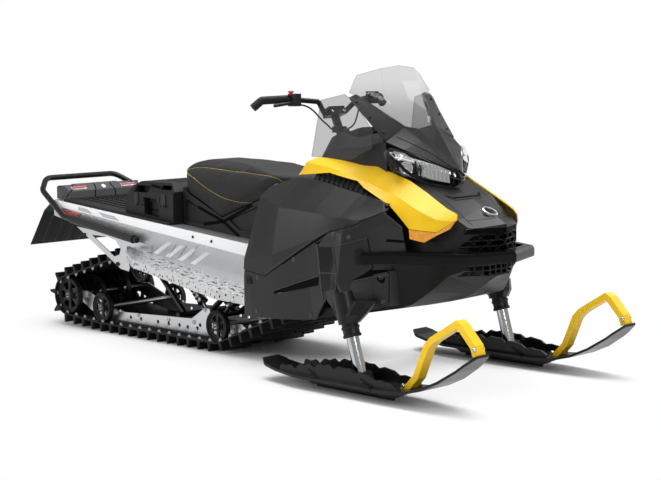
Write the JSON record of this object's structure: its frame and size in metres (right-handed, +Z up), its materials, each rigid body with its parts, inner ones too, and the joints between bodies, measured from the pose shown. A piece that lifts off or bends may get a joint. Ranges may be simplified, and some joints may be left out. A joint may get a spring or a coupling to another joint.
{
  "type": "snowmobile",
  "caption": "Long-track utility snowmobile with steered skis, telescopic ski legs, seat, cargo box and deck.",
  "frame": {"origin": "on the ground under the middle of the vehicle's box", "axes": "+X forward, +Y to the left, +Z up"},
  "size_m": [3.1319, 1.088, 1.258],
  "materials": {
    "arm_black": "black powder coat",
    "axle_steel": "plain",
    "board_aluminium": "painted silver",
    "cable_black": "satin",
    "damper_steel": "satin",
    "engine_metal": "plain",
    "flap_rubber": "matte sheet",
    "grip_rubber": "soft",
    "lamp_clear": "clear gloss",
    "lamp_grey": "satin",
    "leg_chrome": "polished",
    "lens_amber": "clear gloss",
    "lens_red": "clear gloss",
    "loop_yellow": "satin coloured plastic",
    "panel_black": "textured moulded plastic",
    "panel_grey": "satin moulded plastic",
    "rail_aluminium": "bare",
    "screen_tint": "light grey clear",
    "seat_cover": "coated fabric with yellow stitching",
    "shroud_yellow": "satin coloured plastic",
    "ski_black": "moulded plastic",
    "sleeve_grey": "satin",
    "slider_plastic": "worn smooth",
    "track_rubber": "moulded rubber",
    "tube_black": "black powder coat",
    "tunnel_aluminium": "rolled sheet, white band along the top edge",
    "wheel_plastic": "satin"
  },
  "bodies": {
    "chassis": {"tunnel": "tunnel_aluminium", "footboards": "board_aluminium", "bumper_brackets": "board_aluminium", "rear_bumper": "tube_black", "bumper_sleeves": "sleeve_grey", "snow_flap": "flap_rubber", "tail_lamp_housing": "lamp_grey", "tail_lens": "lens_red", "side_reflectors": "lens_red", "cargo_deck": "panel_black", "cargo_box": "panel_black", "seat_cushion": "seat_cover", "seat_base": "panel_black", "side_panel_left": "panel_grey", "side_panel_right": "panel_grey", "lower_panels": "panel_black", "front_fenders": "panel_black", "leg_housings": "panel_black", "belly_pan": "panel_black", "front_bumper": "tube_black", "hood": "panel_grey", "nose_grille": "panel_black", "shroud_left": "shroud_yellow", "shroud_right": "shroud_yellow", "front_reflectors": "lens_amber", "intake_grilles": "panel_black", "engine_block": "engine_metal", "console": "panel_grey", "post_bearing": "axle_steel", "cowl": "panel_grey", "windshield": "screen_tint", "side_deflectors": "screen_tint", "headlamps": "lamp_clear", "track": "track_rubber", "track_wheels": "wheel_plastic", "wheel_axles": "axle_steel", "drive_axle": "slider_plastic", "slide_rails": "rail_aluminium", "sliders": "slider_plastic", "suspension_arms": "arm_black", "dampers": "damper_steel"},
    "handlebars": {"steering_post": "tube_black", "handlebar": "tube_black", "grips": "grip_rubber", "bar_controls": "panel_black", "control_cables": "cable_black"},
    "ski_set_right": {"ski_right": "ski_black", "ski_loop_right": "loop_yellow", "ski_leg_right": "leg_chrome"},
    "ski_set_left": {"ski_left": "ski_black", "ski_loop_left": "loop_yellow", "ski_leg_left": "leg_chrome"}
  },
  "joints": [
    {"name": "steering", "type": "hinge", "parent": "chassis", "child": "handlebars", "pos_m": [0.366, 0, 1.062], "axis": [-0.4067, 0, 0.9135], "range_deg": [-30, 30]},
    {"name": "ski_turn_right", "type": "hinge", "parent": "chassis", "child": "ski_set_right", "pos_m": [0.945, -0.45, 0.101], "axis": [-0.284, 0, 0.9588], "range_deg": [-24.5, 24.5]},
    {"name": "ski_turn_left", "type": "hinge", "parent": "chassis", "child": "ski_set_left", "pos_m": [0.945, 0.45, 0.101], "axis": [-0.284, 0, 0.9588], "range_deg": [-24.5, 24.5]}
  ],
  "couplings": [
    {"joint": "ski_turn_right", "follows": "steering", "ratio": 0.8},
    {"joint": "ski_turn_left", "follows": "steering", "ratio": 0.8}
  ]
}
